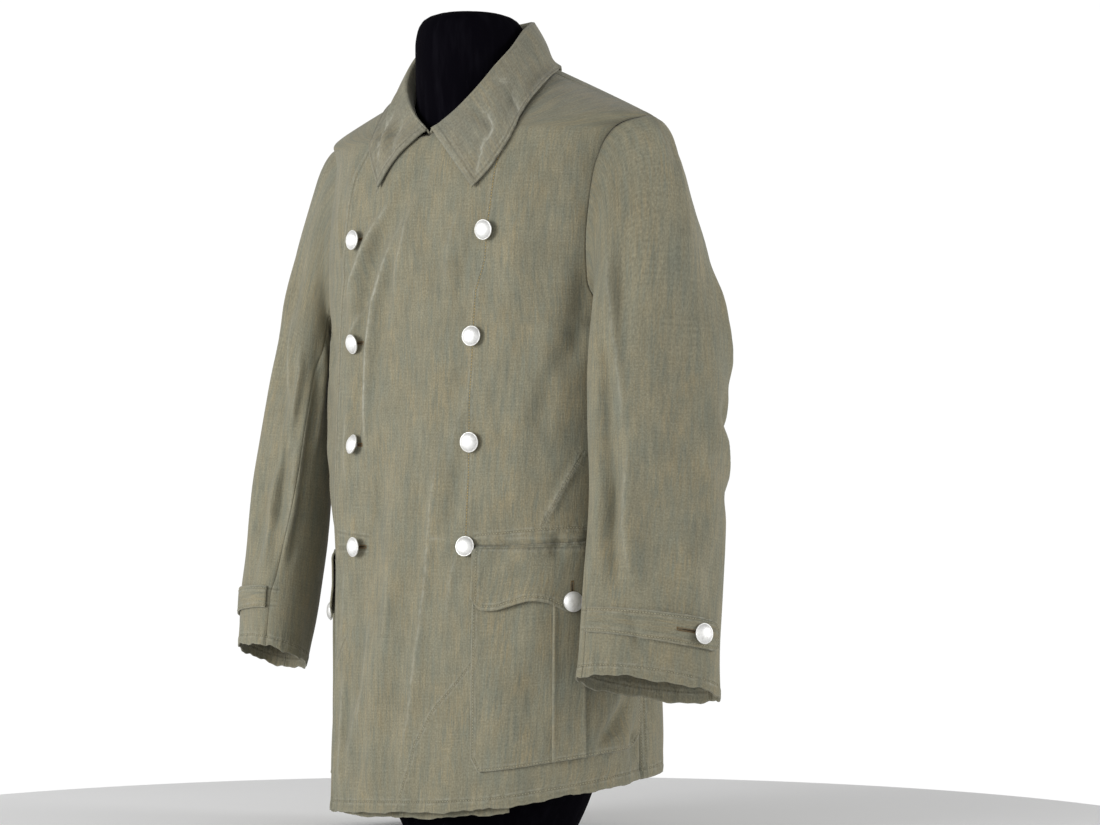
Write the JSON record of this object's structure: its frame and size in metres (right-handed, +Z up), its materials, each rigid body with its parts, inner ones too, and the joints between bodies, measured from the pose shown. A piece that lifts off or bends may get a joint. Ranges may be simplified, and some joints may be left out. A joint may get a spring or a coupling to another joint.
{
  "type": "police uniform jacket on a dress form",
  "caption": "Double-breasted drill uniform jacket with turned-down collar, flapped patch pockets and cuff straps, buttoned on a black limbless dress form.",
  "frame": {"origin": "centre of the dress form's flat base, on the floor", "axes": "+Z up, -Y out of the wearer's front, +X to the wearer's left"},
  "size_m": [0.6431, 0.2682, 0.8745],
  "materials": {
    "drill_cloth": "matt olive-grey melange drill with blue-grey and ochre threads",
    "pale_button_metal": "pebbled, slightly worn",
    "black_form_cloth": "smooth matt black jersey"
  },
  "bodies": {
    "root": {"back": "drill_cloth", "collar": "drill_cloth", "cuff_button_left": "pale_button_metal", "cuff_button_right": "pale_button_metal", "cuff_strap_left": "drill_cloth", "cuff_strap_right": "drill_cloth", "dress_form": "black_form_cloth", "front_button_left_1": "pale_button_metal", "front_button_left_2": "pale_button_metal", "front_button_left_3": "pale_button_metal", "front_button_left_4": "pale_button_metal", "front_button_right_1": "pale_button_metal", "front_button_right_2": "pale_button_metal", "front_button_right_3": "pale_button_metal", "front_button_right_4": "pale_button_metal", "left_front": "drill_cloth", "pocket_button_left": "pale_button_metal", "pocket_button_right": "pale_button_metal", "pocket_flap_left": "drill_cloth", "pocket_flap_right": "drill_cloth", "pocket_left": "drill_cloth", "pocket_right": "drill_cloth", "right_front": "drill_cloth", "under_sleeve_left": "drill_cloth", "under_sleeve_right": "drill_cloth", "upper_sleeve_left": "drill_cloth", "upper_sleeve_right": "drill_cloth"}
  },
  "joints": []
}
